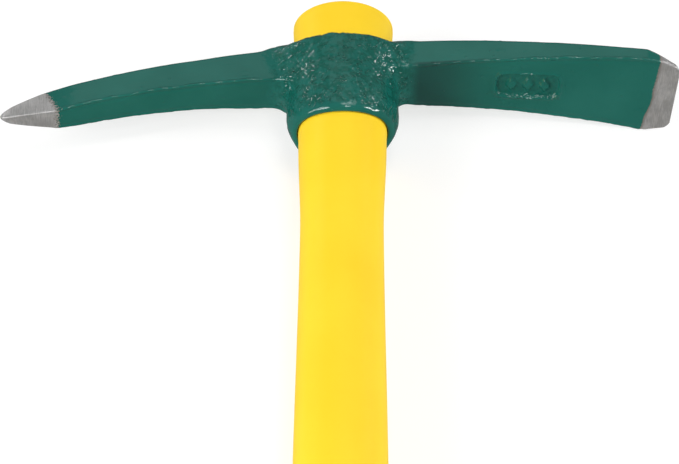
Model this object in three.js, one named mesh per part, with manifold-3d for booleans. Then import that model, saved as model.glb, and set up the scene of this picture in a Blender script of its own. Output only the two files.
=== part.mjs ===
// A pick mattock: a forged steel head with a pick point and an adze blade, slip-fitted on a flared
// plastic-jacketed fibreglass handle. Millimetres, +Z up, the tool lying on its side.
//
// While it is modelled, the handle's axis is the line x = 0, z = 0 and y = 0 is the level of the
// arms' top at the eye: the pick points to -X, the adze blade to +X, the handle's fat end to +Y and
// its butt to -Y. At the end the whole tool is moved so that it stands on z = 0, centred on x and y.

import * as THREE from 'three';
import Module from 'manifold-3d';
import { ParametricGeometry } from 'three/addons/geometries/ParametricGeometry.js';
import { mergeVertices } from 'three/addons/utils/BufferGeometryUtils.js';

// ---- driving dimensions: head ----
const PICK_TIP = -204.5;        // x of the pick's point
const ADZE_EDGE = 199.5;        // x of the adze's cutting edge at its middle
const EDGE_SKEW = 0.045;        // the edge is ground this much out of square
const SKEW_START = 150;         // x where that skew begins to ease in
const ARM_ROOT = 40;            // the arms' formulas count from this distance off the handle's axis
const COLLAR_X = 33.2;          // collar's outer half-width along the head
const COLLAR_Z = 30.5;          // collar's outer half-width across the head
const COLLAR_TOP = -4.6;        // y of the collar's top face
const COLLAR_BOTTOM = -69.3;    // y of the collar's lip at its cheeks
const LIP_RISE = 6;             // how much higher the lip is under the two arms
const LIP_TILT = 0.025;         // slope of the lip along the head
const SHOULDER_SPREAD = 9.3;    // how much longer the collar is at the level of the arms' top
const LIP_BLEND = 7;            // blend width that rounds the lip
const SKIRT_TOP = -52;          // y where the collar's wall starts to draw in towards the lip
const PICK_SKIRT_DRAW = 3;      // how far it draws in under the pick, besides SKIRT_DRAW_ALL
const ADZE_SKIRT_DRAW = 4.6;    // and under the adze
const SKIRT_DRAW_ALL = 1;       // and how far it draws in all round
const RIM_BLEND = 5;            // blend width that rounds the collar's top edge
const PICK_FILLET = 13;         // blend width between the pick arm's underside and the collar
const PICK_SHOULDER = 9.5;      // and between its top and the collar
const ADZE_FILLET = 8;          // blend width between the adze arm and the collar
const EDGE_BLEND = 2.2;         // blend width of the arms' long edges
const DRAFT = 0.052;            // slope of the arms' sides, narrower towards the top
const BEVEL_START = 180;        // x where the adze's bevel begins
const TIP_GROUND = -170;        // x where the ground point of the pick begins
const NOSE = 7.05;              // length of the rounded nose of the pick's point

// ---- driving dimensions: eye and handle ----
const GAP = 0.3;                // clearance between pieces that touch
const HANDLE_TOP = 25;          // y of the handle's fat end
const HANDLE_LENGTH = 914;      // 36 inches
const SHOULDER = -70;           // y where the flare that the eye wedges on begins
const SHOULDER_X = 25.95;       // handle's half-width along the head at the shoulder
const SHOULDER_Z = 25;          // and across it
const FLARE = 0.0488;           // half-width gained along the head for each mm above the shoulder
const NECK = -140;              // y where the handle is at its slimmest below the head
const NECK_X = 23.85;
const NECK_Z = 21.5;
const WAIST = -330;             // from the neck to here the handle swells a little again
const WAIST_X = 25.3;
const WAIST_Z = 20.5;
const GRIP_TOP = -660;          // y where the rubber grip begins
const GRIP_X = 21.5;
const GRIP_Z = 17.5;
const BUTT_X = 24;              // the butt's swell
const BUTT_Z = 20.5;
const GRIP_WALL = 3.2;
const CAP_THICKNESS = 9;
const CORE_X = 13;              // half-widths of the fibreglass rod
const CORE_Z = 10;
const CORE_TOP = 4;
const INSERT_BOTTOM = -78;
const INSERT_TOP = 6;
const JACKET_WALL = 5;          // jacket's wall over the flare insert
const PLUG_DEPTH = 12;
const PLUG_X = 21;
const PLUG_Z = 16;

const HANDLE_BUTT = HANDLE_TOP - HANDLE_LENGTH;
const GRIP_BOTTOM = HANDLE_BUTT + CAP_THICKNESS;

// ---- resolution ----
const ROUND = 48;               // sides of an oval that the eye and the handle share
const SMALL_ROUND = 28;         // sides of the hidden ovals

// ---- looks ----
const finish = (color, roughness, metalness) =>
  new THREE.MeshStandardMaterial({ color, roughness, metalness });
const enamel = finish('#2b6b60', 0.35, 0.1);
const yellowPlastic = finish('#ffd92f', 0.5, 0);
const fibreglass = finish('#d9d2b4', 0.6, 0);
const nylon = finish('#e6e2d6', 0.6, 0);
const blackRubber = finish('#1f2022', 0.85, 0);
const blackPlastic = finish('#26282a', 0.5, 0);

// ---- small tools ----
const wasm = await Module();
wasm.setup();

const clamp = THREE.MathUtils.clamp;
const lerp = THREE.MathUtils.lerp;
const smoothstep = THREE.MathUtils.smoothstep;

// The smaller of two values, rounded off over the blend width where they are alike.
function smoothMin(a, b, blend) {
  const share = clamp(0.5 + 0.5 * (b - a) / blend, 0, 1);
  return lerp(b, a, share) - blend * share * (1 - share);
}

const smoothMax = (a, b, blend) => -smoothMin(-a, -b, blend);

// A closed geometry as a manifold solid: corners merged, and triangles that have collapsed left out.
function solid(geometry) {
  const bare = geometry.clone();
  bare.deleteAttribute('normal');
  bare.deleteAttribute('uv');
  const merged = mergeVertices(bare, 1e-4);
  const index = merged.index.array;
  const kept = [];
  for (let i = 0; i < index.length; i += 3) {
    const [a, b, c] = index.slice(i, i + 3);
    if (a !== b && b !== c && c !== a) kept.push(a, b, c);
  }
  return new wasm.Manifold(new wasm.Mesh({
    numProp: 3,
    vertProperties: new Float32Array(merged.attributes.position.array),
    triVerts: new Uint32Array(kept),
  }));
}

function geometryOf(manifold) {
  const { vertProperties, triVerts } = manifold.getMesh();
  const geometry = new THREE.BufferGeometry();
  geometry.setAttribute('position', new THREE.BufferAttribute(vertProperties, 3));
  geometry.setIndex(new THREE.BufferAttribute(triVerts, 1));
  geometry.computeVertexNormals();
  return geometry;
}

function piece(name, manifold, material) {
  const mesh = new THREE.Mesh(geometryOf(manifold), material);
  mesh.name = name;
  return mesh;
}

// A solid of oval sections along Y. The profile lists [y, half-width in x, half-width in z] from the
// lowest y to the highest, and both ends are closed flat.
function ovalBar(profile, sides) {
  const closed = [[profile[0][0], 0, 0], ...profile, [profile.at(-1)[0], 0, 0]];
  const stacks = closed.length - 1;
  const section = (u, v, target) => {
    const [y, halfX, halfZ] = closed[Math.round(v * stacks)];
    const angle = 2 * Math.PI * (Math.round(u * sides) % sides) / sides;
    target.set(halfX * Math.cos(angle), y, -halfZ * Math.sin(angle));
  };
  return solid(new ParametricGeometry(section, sides, stacks));
}

// ---- handle ----
// Half-widths of the handle's outside at a height y, [x, z]. Above the shoulder it flares in a
// straight taper that the head's eye wedges on; below, it draws in to a neck, swells to a waist and
// slims down to the grip and out again to the butt.
function handleHalf(y) {
  if (y > SHOULDER) return [SHOULDER_X + FLARE * (y - SHOULDER), SHOULDER_Z];
  if (y > NECK) {
    const t = smoothstep(y, NECK, SHOULDER);
    return [lerp(NECK_X, SHOULDER_X, t), lerp(NECK_Z, SHOULDER_Z, t)];
  }
  if (y > WAIST) {
    const t = smoothstep(y, WAIST, NECK);
    return [lerp(WAIST_X, NECK_X, t), lerp(WAIST_Z, NECK_Z, t)];
  }
  if (y > GRIP_TOP) {
    const t = smoothstep(y, GRIP_TOP, WAIST);
    return [lerp(GRIP_X, WAIST_X, t), lerp(GRIP_Z, WAIST_Z, t)];
  }
  const t = smoothstep(-y, -(HANDLE_BUTT + 95), -(HANDLE_BUTT + 15));
  return [lerp(GRIP_X, BUTT_X, t), lerp(GRIP_Z, BUTT_Z, t)];
}

const offsetHalf = (y, offset) => handleHalf(y).map((half) => half + offset);

// Heights from low to high, both included, in equal steps.
const heights = (low, high, steps) =>
  Array.from({ length: steps + 1 }, (_, i) => lerp(low, high, i / steps));

const insertHalf = (y) => offsetHalf(y, -JACKET_WALL - GAP);
const core = [CORE_X, CORE_Z];
const coreBore = [CORE_X + GAP, CORE_Z + GAP];

function handleJacket() {
  const edge = 0.9;
  const outside = [
    ...heights(GRIP_BOTTOM + GAP, GRIP_TOP, 8).map((y) => [y, ...offsetHalf(y, -GRIP_WALL)]),
    ...heights(GRIP_TOP + 0.01, WAIST, 6).map((y) => [y, ...handleHalf(y)]),
    ...heights(WAIST, NECK, 5).slice(1).map((y) => [y, ...handleHalf(y)]),
    ...heights(NECK, SHOULDER, 5).slice(1).map((y) => [y, ...handleHalf(y)]),
    [HANDLE_TOP - edge, ...handleHalf(HANDLE_TOP - edge)],
    [HANDLE_TOP, ...offsetHalf(HANDLE_TOP, -edge)],
  ];
  const bore = [
    [GRIP_BOTTOM - 5, ...coreBore],
    [HANDLE_TOP + 5, ...coreBore],
  ];
  const insertSeat = [
    [INSERT_BOTTOM - GAP, ...offsetHalf(INSERT_BOTTOM, -JACKET_WALL)],
    [SHOULDER, ...offsetHalf(SHOULDER, -JACKET_WALL)],
    [INSERT_TOP + GAP, ...offsetHalf(INSERT_TOP, -JACKET_WALL)],
  ];
  const plugSeat = [
    [INSERT_TOP, PLUG_X + GAP, PLUG_Z + GAP],
    [HANDLE_TOP + 5, PLUG_X + GAP, PLUG_Z + GAP],
  ];
  return ovalBar(outside, ROUND)
    .subtract(ovalBar(bore, SMALL_ROUND))
    .subtract(ovalBar(insertSeat, SMALL_ROUND))
    .subtract(ovalBar(plugSeat, SMALL_ROUND));
}

const fibreglassCore = () =>
  ovalBar([[GRIP_BOTTOM + GAP, ...core], [CORE_TOP, ...core]], SMALL_ROUND);

function flareInsert() {
  const outside = [
    [INSERT_BOTTOM, ...insertHalf(INSERT_BOTTOM)],
    [SHOULDER, ...insertHalf(SHOULDER)],
    [INSERT_TOP, ...insertHalf(INSERT_TOP)],
  ];
  const bore = [
    [INSERT_BOTTOM - 5, ...coreBore],
    [INSERT_TOP + 5, ...coreBore],
  ];
  return ovalBar(outside, SMALL_ROUND).subtract(ovalBar(bore, SMALL_ROUND));
}

function topPlug() {
  const dish = 1.2;
  const body = [
    [HANDLE_TOP - PLUG_DEPTH, PLUG_X, PLUG_Z],
    [HANDLE_TOP - dish, PLUG_X, PLUG_Z],
  ];
  return ovalBar(body, SMALL_ROUND);
}

function gripSleeve() {
  const ribs = 7;
  const ribDepth = 0.8;
  const ribPitch = (GRIP_TOP - GRIP_BOTTOM - 60) / ribs;
  const outside = [[GRIP_BOTTOM + GAP, ...handleHalf(GRIP_BOTTOM)]];
  for (let rib = 0; rib < ribs; rib += 1) {
    const y = GRIP_BOTTOM + 30 + rib * ribPitch;
    outside.push([y, ...handleHalf(y)]);
    outside.push([y + 3, ...offsetHalf(y + 3, -ribDepth)]);
    outside.push([y + ribPitch - 8, ...offsetHalf(y + ribPitch - 8, -ribDepth)]);
    outside.push([y + ribPitch - 5, ...handleHalf(y + ribPitch - 5)]);
  }
  outside.push([GRIP_TOP - 4, ...handleHalf(GRIP_TOP - 4)]);
  outside.push([GRIP_TOP - GAP, ...offsetHalf(GRIP_TOP, -1.2)]);
  const inside = heights(GRIP_BOTTOM + GAP, GRIP_TOP, 8).map((y) => [y, ...offsetHalf(y, GAP - GRIP_WALL)]);
  inside[0][0] -= 1;
  inside.at(-1)[0] += 1;
  return ovalBar(outside, SMALL_ROUND).subtract(ovalBar(inside, ROUND));
}

function buttCap() {
  const edge = 2.5;
  const [halfX, halfZ] = handleHalf(HANDLE_BUTT);
  return ovalBar([
    [HANDLE_BUTT, halfX - edge, halfZ - edge],
    [HANDLE_BUTT + edge * 0.3, halfX - edge * 0.3, halfZ - edge * 0.3],
    [HANDLE_BUTT + edge, halfX, halfZ],
    [GRIP_BOTTOM, halfX, halfZ],
  ], ROUND);
}

// ---- head ----
// The arms as one bar along X: the height of its underside and top and its half-width at the
// underside. Each is a parabola on each arm; the two arms change over inside the collar.
function pickArm(x) {
  const s = Math.max(-x - ARM_ROOT, -2 * ARM_ROOT);
  const ground = -TIP_GROUND - ARM_ROOT;
  const inGround = Math.max(s - ground, 0);
  const curved = Math.min(s, ground);
  const waist = 0.5 * Math.exp(-(((s - 48) / 14) ** 2));
  return {
    top: -2.75 - 0.101 * s - 0.00091 * s * s - 0.1 * Math.max(s - 141, 0),
    bottom: -30.5 - 0.008 * curved - 0.00124 * curved ** 2 - 0.035 * inGround,
    half: 12.9 - 0.034 * s - 0.0018 * Math.max(s - 110, 0) ** 2 - waist,
  };
}

function adzeArm(x) {
  const s = Math.max(x - ARM_ROOT, -2 * ARM_ROOT);
  const bevel = Math.max(x - BEVEL_START, 0);
  const flat = s - bevel;
  return {
    top: 0.4 - 0.023 * flat - 0.00082 * flat ** 2 - 0.6 * bevel,
    bottom: -22.35 + 0.0045 * s - 0.000731 * (x - 75) ** 2,
    half: 17.3 + 0.075 * flat + 0.00012 * flat ** 2 - 0.0143 * bevel ** 2 - 0.3 * Math.max(x - 196, 0) ** 2,
  };
}

function arm(x) {
  const pick = pickArm(x);
  const adze = adzeArm(x);
  const share = smoothstep(x, -34, 34);
  const fromNose = Math.max(-x + PICK_TIP + NOSE, 0) / NOSE;
  const nose = Math.sqrt(Math.max(1 - fromNose ** 2, 0));
  const top = lerp(pick.top, adze.top, share);
  const bottom = lerp(pick.bottom, adze.bottom, share);
  const middle = (top + bottom) / 2;
  return {
    top: lerp(middle, top, nose),
    bottom: lerp(middle, bottom, nose),
    half: lerp(pick.half, adze.half, share) * nose,
  };
}

// Below zero inside the forging and above zero outside it: a bar with rounded edges, blended into
// an oval collar that is longer at its shoulders and whose lip rises under the arms.
function headField(x, y, z) {
  const { top, bottom, half } = arm(x);
  const edge = Math.min(EDGE_BLEND, 0.4 * Math.min(top - bottom, 2 * half));
  const side = Math.abs(z) - half + DRAFT * (y - bottom);
  const bar = smoothMax(smoothMax(side, y - top, 1.6 * edge), bottom - y, edge);
  const longX = COLLAR_X + SHOULDER_SPREAD * smoothstep(y, -30, -8);
  const reach = Math.hypot(x / longX, z / COLLAR_Z) + 1e-9;
  const underArm = (x / longX / reach) ** 2;
  const skirtDraw = lerp(PICK_SKIRT_DRAW, ADZE_SKIRT_DRAW, smoothstep(x, -10, 10));
  const downSkirt = clamp((SKIRT_TOP - y) / (SKIRT_TOP - COLLAR_BOTTOM), 0, 1.2) ** 1.8;
  const draw = (skirtDraw * underArm + SKIRT_DRAW_ALL) * downSkirt;
  const wall = (reach - 1) * (COLLAR_X + COLLAR_Z) / 2 + draw;
  const lip = COLLAR_BOTTOM + LIP_RISE * underArm + LIP_TILT * x;
  const body = smoothMax(wall, lip - y, LIP_BLEND);
  const collar = smoothMax(body, y - COLLAR_TOP, RIM_BLEND);
  const pickFillet = lerp(PICK_FILLET, PICK_SHOULDER, smoothstep(y, -30, -8));
  const fillet = lerp(pickFillet, ADZE_FILLET, smoothstep(x, -20, 20));
  return smoothMin(bar, collar, fillet);
}

// The skin is cut by section planes that all hold the Z direction. Each runs from a point below
// the forging to one above it: upright along the arms, and fanned out round the collar's corners.
function fan(side, armX, steps) {
  const root = arm(side * armX);
  const path = new THREE.SplineCurve([
    new THREE.Vector2(side * armX, root.bottom),
    new THREE.Vector2(side * 40.5, side < 0 ? -32.5 : -25),
    new THREE.Vector2(side * 36, side < 0 ? -38 : -32),
    new THREE.Vector2(side * 34, -48),
    new THREE.Vector2(side * 32.5, -60),
    new THREE.Vector2(side * 28.5, COLLAR_BOTTOM + 1.5),
    new THREE.Vector2(side * 23, COLLAR_BOTTOM),
  ]);
  return Array.from({ length: steps }, (_, i) => {
    const t = i / steps;
    const below = path.getPointAt(t);
    const topX = side * lerp(armX, 21, t);
    const above = new THREE.Vector2(topX, arm(topX).top);
    return { below, above, half: lerp(root.half, 28, smoothstep(t, 0, 1)) };
  });
}

const upright = (x) => {
  const { top, bottom, half } = arm(x);
  return { below: new THREE.Vector2(x, bottom), above: new THREE.Vector2(x, top), half };
};

function sectionPlanes() {
  const planes = [];
  for (const fromTip of [0.1, 0.8, 2, 4, 7, 11, 17, 24.5]) planes.push(upright(PICK_TIP + fromTip));
  planes.push(upright(TIP_GROUND));
  for (let x = -158; x < -54; x += 13) planes.push(upright(x));
  planes.push(...fan(-1, 50, 10));
  for (let i = 0; i <= 8; i += 1) {
    const x = lerp(-23, 23, i / 8);
    planes.push({
      below: new THREE.Vector2(x, COLLAR_BOTTOM),
      above: new THREE.Vector2(x * 21 / 23, arm(x).top),
      half: 29,
    });
  }
  planes.push(...fan(1, 50, 10).reverse());
  for (let x = 64; x < BEVEL_START - 6; x += 14) planes.push(upright(x));
  for (const fromEdge of [19.5, 12.5, 7, 3.5, 1.3, 0]) planes.push(upright(ADZE_EDGE - fromEdge));
  return planes;
}

// Points on the section's guide rectangle, from the middle of its underside round one side to the
// middle of its top, as [share of the half-width, share of the half-height].
function guideRow() {
  const row = [];
  for (const t of [0, 0.35, 0.7, 0.93]) row.push([t, -1]);
  for (const t of [-1, -0.8, -0.35, 0.15, 0.6, 0.85]) row.push([1, t]);
  for (const t of [1, 0.75, 0.4]) row.push([t, 1]);
  row.push([0, 1]);
  return row;
}

// Slides out from the plane's middle through a point of the guide rectangle until the field is
// zero, and then skews the point if it lies near the adze's edge.
function skinPoint(plane, acrossShare, alongShare, target) {
  const middle = plane.below.clone().add(plane.above).multiplyScalar(0.5);
  const along = plane.above.clone().sub(plane.below);
  const halfHeight = along.length() / 2;
  along.normalize();
  const across = acrossShare * plane.half;
  const up = alongShare * halfHeight;
  const length = Math.hypot(across, up);
  let inside = 0;
  let outside = 60;
  for (let i = 0; i < 40; i += 1) {
    const reach = (inside + outside) / 2;
    const step = reach * up / length;
    target.set(middle.x + along.x * step, middle.y + along.y * step, -reach * across / length);
    if (headField(target.x, target.y, target.z) < 0) inside = reach;
    else outside = reach;
  }
  target.x += EDGE_SKEW * target.z * smoothstep(target.x, SKEW_START, ADZE_EDGE);
}

function headSkin() {
  const planes = sectionPlanes();
  const half = guideRow();
  const row = [...half, ...half.slice(1, -1).reverse().map(([across, along]) => [-across, along])];
  const stacks = planes.length + 1;
  const skin = (u, v, target) => {
    const stack = Math.round(v * stacks);
    const plane = planes[clamp(stack - 1, 0, planes.length - 1)];
    if (stack === 0 || stack === stacks) {
      const nudge = stack === 0 ? -0.1 : 0;
      target.set(plane.below.x + nudge, (plane.below.y + plane.above.y) / 2, 0);
      return;
    }
    skinPoint(plane, ...row[Math.round(u * row.length) % row.length], target);
  };
  return solid(new ParametricGeometry(skin, row.length, stacks));
}

// The eye follows the handle's flare with a gap all round, and opens out a little at both mouths.
function eye() {
  const mouth = 1.2;
  const low = COLLAR_BOTTOM + mouth;
  return ovalBar([
    [COLLAR_BOTTOM - 12, ...offsetHalf(low, GAP + 9)],
    [COLLAR_BOTTOM - 1, ...offsetHalf(low, GAP + 1.6)],
    [low, ...offsetHalf(low, GAP + 0.3)],
    [COLLAR_TOP - 1, ...offsetHalf(COLLAR_TOP - 1, GAP + 0.3)],
    [COLLAR_TOP + 1, ...offsetHalf(COLLAR_TOP + 1, GAP + 1)],
    [HANDLE_TOP, ...offsetHalf(HANDLE_TOP, GAP + 6)],
  ], ROUND);
}

// A sunk panel on the adze's underside with three plain raised lozenges.
function cartouche() {
  const length = 38;
  const width = 19;
  const round = 6;
  const depth = 0.9;
  const at = { x: 111.5, z: 0.8 };
  const slope = (arm(at.x + 1).bottom - arm(at.x - 1).bottom) / 2;
  const outline = new THREE.Shape();
  outline.absarc(length / 2 - round, width / 2 - round, round, 0, Math.PI / 2);
  outline.absarc(-length / 2 + round, width / 2 - round, round, Math.PI / 2, Math.PI);
  outline.absarc(-length / 2 + round, -width / 2 + round, round, Math.PI, 1.5 * Math.PI);
  outline.absarc(length / 2 - round, -width / 2 + round, round, 1.5 * Math.PI, 2 * Math.PI);
  outline.closePath();
  const lozenges = [-10, 0, 10].map((x) => {
    const hole = new THREE.Path();
    hole.moveTo(x + 3.6, 0);
    hole.lineTo(x, -5.4);
    hole.lineTo(x - 3.6, 0);
    hole.lineTo(x, 5.4);
    hole.closePath();
    return hole;
  });
  outline.holes.push(...lozenges);
  const block = new THREE.ExtrudeGeometry(outline, { depth: 6, bevelEnabled: false, curveSegments: 4 });
  block.rotateX(Math.PI / 2);
  block.rotateZ(Math.atan(slope));
  block.translate(at.x, arm(at.x).bottom + depth, at.z);
  return solid(block);
}

const head = () => headSkin().subtract(eye()).subtract(cartouche());

// ---- assembly ----
const tool = new THREE.Group();
tool.add(
  piece('pick_mattock_head', head(), enamel),
  piece('handle_jacket', handleJacket(), yellowPlastic),
  piece('fibreglass_core', fibreglassCore(), fibreglass),
  piece('flare_insert', flareInsert(), nylon),
  piece('top_plug', topPlug(), yellowPlastic),
  piece('grip_sleeve', gripSleeve(), blackRubber),
  piece('butt_cap', buttCap(), blackPlastic),
);

const bounds = new THREE.Box3().setFromObject(tool);
tool.position.set(
  -(bounds.min.x + bounds.max.x) / 2,
  -(bounds.min.y + bounds.max.y) / 2,
  -bounds.min.z,
);
tool.updateMatrixWorld(true);

export default tool;
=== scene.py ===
# %% [markdown]
# # A pick mattock: forged head, slip-fit handle
#
# The tool is a steel forging with a pick point and an adze blade, dipped in green enamel and ground
# bare at both ends, wedged on the flared end of a yellow plastic-jacketed handle. This lesson takes
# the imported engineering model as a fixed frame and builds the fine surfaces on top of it: every
# visible piece is a surface worked out with numpy, and every finish is a small tree of nodes.

import bmesh
import bpy
import numpy as np
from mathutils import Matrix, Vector


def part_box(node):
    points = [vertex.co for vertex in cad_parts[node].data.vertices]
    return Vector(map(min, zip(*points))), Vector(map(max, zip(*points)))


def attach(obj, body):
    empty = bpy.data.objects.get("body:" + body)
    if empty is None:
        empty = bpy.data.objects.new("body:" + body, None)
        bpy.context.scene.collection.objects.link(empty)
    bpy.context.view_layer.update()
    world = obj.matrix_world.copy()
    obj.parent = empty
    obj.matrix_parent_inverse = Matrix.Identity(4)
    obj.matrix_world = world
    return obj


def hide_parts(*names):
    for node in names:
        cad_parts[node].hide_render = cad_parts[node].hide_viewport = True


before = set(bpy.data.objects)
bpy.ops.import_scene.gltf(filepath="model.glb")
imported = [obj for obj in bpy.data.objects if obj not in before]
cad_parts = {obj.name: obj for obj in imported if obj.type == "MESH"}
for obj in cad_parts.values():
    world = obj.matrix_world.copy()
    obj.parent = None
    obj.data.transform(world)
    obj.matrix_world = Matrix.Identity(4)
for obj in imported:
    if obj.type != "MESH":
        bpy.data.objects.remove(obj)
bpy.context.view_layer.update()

# %% [markdown]
# ## Where things are
#
# The frame is in metres, but a smith thinks in millimetres, so the shapes below are worked out in
# millimetres in the tool's own frame and placed once, at the end. That frame has the handle's axis
# along Y, the level of the arms' top at the eye at y = 0, the pick towards -X and the adze towards
# +X. The handle's box in the engineering model says where this frame lies.

# %% Units and the tool's own frame
MM = 0.001
HANDLE_TOP = 25.0          # the handle's fat end stands this far above the arms' top
jacket_low, jacket_high = (np.array(corner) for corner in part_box("handle_jacket"))
TOOL_ORIGIN = (jacket_low + jacket_high) / 2
TOOL_ORIGIN[1] = jacket_high[1] - HANDLE_TOP * MM


def placed(points_mm):
    """Points in the tool's frame in mm, as points in the shared frame in metres."""
    return np.asarray(points_mm) * MM + TOOL_ORIGIN


HANDLE_BUTT = (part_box("butt_cap")[0].y - TOOL_ORIGIN[1]) / MM
print("tool origin (m):", TOOL_ORIGIN.round(4), "butt at y =", round(HANDLE_BUTT, 1), "mm")

# %% [markdown]
# ## Small tools for curves and grids
#
# Three rounded-off choices do most of the shaping. A smooth step eases from 0 to 1. A smooth
# minimum joins two solids with a fillet, and a smooth maximum cuts one by the other with a rounded
# edge. Their blend width sets the radius.

# %% Easing and blending
def ease(value, low, high):
    """0 below low, 1 above high, and 3t^2 - 2t^3 between."""
    t = np.clip((value - low) / (high - low), 0, 1)
    return t * t * (3 - 2 * t)


def between(a, b, share):
    """a where share is 0, b where share is 1, and a straight mix between."""
    return a + (b - a) * share


def smooth_min(a, b, blend):
    """The smaller of a and b, less blend * s * (1 - s), where s says how alike they are."""
    share = np.clip(0.5 + 0.5 * (b - a) / blend, 0, 1)
    return between(b, a, share) - blend * share * (1 - share)


def smooth_max(a, b, blend):
    """The larger of a and b, rounded off in the same way."""
    return -smooth_min(-a, -b, blend)


print("ease half way:", ease(0.5, 0, 1), "fillet depth:", smooth_min(0.0, 0.0, 8.0))

# %% [markdown]
# Hand-forged steel and thick paint are never even. A lattice of random numbers, blended smoothly
# between its corners, gives a soft irregular field; sums of it at halving sizes give a natural
# roughness. The lattice has a fixed seed, so the tool comes out the same on every run.

# %% Seeded noise in space
LATTICE_SIDE = 32
LATTICE = np.random.default_rng(4).uniform(-1, 1, (LATTICE_SIDE,) * 3)


def noise(points, size):
    """Random numbers on a cubic lattice of the given cell size, blended between the 8 corners of
    each cell with the weight 6t^5 - 15t^4 + 10t^3 along each axis."""
    scaled = points / size
    cell = np.floor(scaled).astype(int)
    t = scaled - cell
    t = t * t * t * (t * (6 * t - 15) + 10)
    total = 0.0
    for corner in np.ndindex(2, 2, 2):
        weight = np.prod(np.where(corner, t, 1 - t), axis=-1)
        i, j, k = np.moveaxis((cell + corner) % LATTICE_SIDE, -1, 0)
        total = total + weight * LATTICE[i, j, k]
    return total


def rough(points, size, octaves=3):
    """A sum of noise at halving sizes and halving strengths, each shifted off the last."""
    return sum(noise(points + 7.7 * k, size / 2**k) / 2**k for k in range(octaves))


print("noise spread:", noise(np.random.default_rng(1).uniform(0, 90, (5000, 3)), 9.0).std().round(3))

# %% [markdown]
# A grid of points becomes a mesh when each small square of neighbours becomes a face. Columns
# always wrap round. Rows wrap too where a profile closes on itself; otherwise the first and last
# row are drawn to a point, and merging the doubled points closes the pole.

# %% From a grid of points to a mesh object
def face_grid(rows, columns, closed_rows):
    """Corner numbers of every face of a rows x columns grid whose columns wrap round."""
    last = rows if closed_rows else rows - 1
    i, j = np.meshgrid(np.arange(last), np.arange(columns), indexing="ij")
    below, right = (i + 1) % rows, (j + 1) % columns
    corners = [i * columns + j, below * columns + j, below * columns + right, i * columns + right]
    return np.stack(corners, -1).reshape(-1, 4)


def shade(mesh, sharp_angle):
    """Smooth shading, broken only where two faces meet more sharply than the angle."""
    mesh.shade_smooth()
    mesh.set_sharp_from_angle(angle=np.radians(sharp_angle))


def surface(name, grid_mm, closed_rows=False, sharp_angle=50):
    """A mesh object from a (rows, columns, 3) grid in the tool's frame, closed, faces outwards."""
    rows, columns, _ = grid_mm.shape
    mesh = bpy.data.meshes.new(name)
    faces = face_grid(rows, columns, closed_rows)
    mesh.from_pydata(placed(grid_mm.reshape(-1, 3)).tolist(), [], faces.tolist())
    tidy = bmesh.new()
    tidy.from_mesh(mesh)
    bmesh.ops.remove_doubles(tidy, verts=tidy.verts, dist=2e-6)
    bmesh.ops.recalc_face_normals(tidy, faces=tidy.faces)
    tidy.to_mesh(mesh)
    tidy.free()
    shade(mesh, sharp_angle)
    piece = bpy.data.objects.new(name, mesh)
    bpy.context.scene.collection.objects.link(piece)
    print(f"{name}: {len(mesh.polygons)} faces")
    return piece


# %% [markdown]
# ## The handle's outline
#
# The handle is oval. Above the shoulder it flares in a straight taper, and the head is jammed on
# that taper by centrifugal force at every swing, which is why this kind of handle needs no wedge.
# Below, it draws in to a neck, swells to a waist and slims to the grip. Each stretch is one ease
# curve, so a short list of stations says it all.

# %% Half-widths along the handle
GAP = 0.3
STATIONS = [  # (height, half-width along the head, half-width across it)
    (HANDLE_BUTT + 15, 24.0, 20.5),
    (HANDLE_BUTT + 95, 21.5, 17.5),
    (-660.0, 21.5, 17.5),
    (-330.0, 25.3, 20.5),
    (-140.0, 23.85, 21.5),
    (-70.0, 25.95, 25.0),
]
SHOULDER, SHOULDER_X, SHOULDER_Z = STATIONS[-1]
FLARE = 0.0488             # half-width gained per mm above the shoulder


def handle_half(y):
    """Half-widths (x, z) of the handle's outside: from each station to the next by one ease curve,
    and above the shoulder a straight flare in x alone."""
    half_x = np.full_like(y, STATIONS[0][1])
    half_z = np.full_like(y, STATIONS[0][2])
    for (low, _, _), (high, high_x, high_z) in zip(STATIONS, STATIONS[1:]):
        share = ease(y, low, high)
        half_x = between(half_x, high_x, share)
        half_z = between(half_z, high_z, share)
    return half_x + FLARE * np.clip(y - SHOULDER, 0, None), half_z


print("at the fat end:", [float(h[0].round(2)) for h in handle_half(np.array([HANDLE_TOP]))])

# %% [markdown]
# ## The forging as a field
#
# The head could be sculpted by hand, or assembled from boxes and beveled. A forging has neither
# sharp joints nor flat faces, so here it is a field: a formula that is below zero inside the steel
# and above zero outside. The two arms are one bar whose underside, top and half-width are
# parabolas; the collar is an oval with a lip; a smooth minimum joins them with the big soft
# fillets that a drop forging needs to fill its die.

# %% The arms
PICK_TIP, ADZE_EDGE, ARM_ROOT = -204.2, 199.3, 40.0
TIP_GROUND, BEVEL_START = -170.0, 180.0
NOSE = 7.05                # length of the rounded end of the pick's point
DRAFT = 0.052              # the arms' sides lean in by this much per mm of height


def pick_arm(x):
    """Underside, top and half-width of the pick: parabolas in the distance from its root, with a
    straighter underside where the point is ground and a slight dent in the sides near the root."""
    s = np.clip(-x - ARM_ROOT, -2 * ARM_ROOT, None)
    ground = -TIP_GROUND - ARM_ROOT
    curved = np.minimum(s, ground)
    bottom = -30.5 - 0.008 * curved - 0.00124 * curved**2 - 0.035 * np.clip(s - ground, 0, None)
    top = -2.75 - 0.101 * s - 0.00091 * s**2 - 0.1 * np.clip(s - 141, 0, None)
    dent = 0.5 * np.exp(-(((s - 48) / 14) ** 2))
    half = 12.9 - 0.034 * s - 0.0018 * np.clip(s - 110, 0, None) ** 2 - dent
    return bottom, top, half


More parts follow.
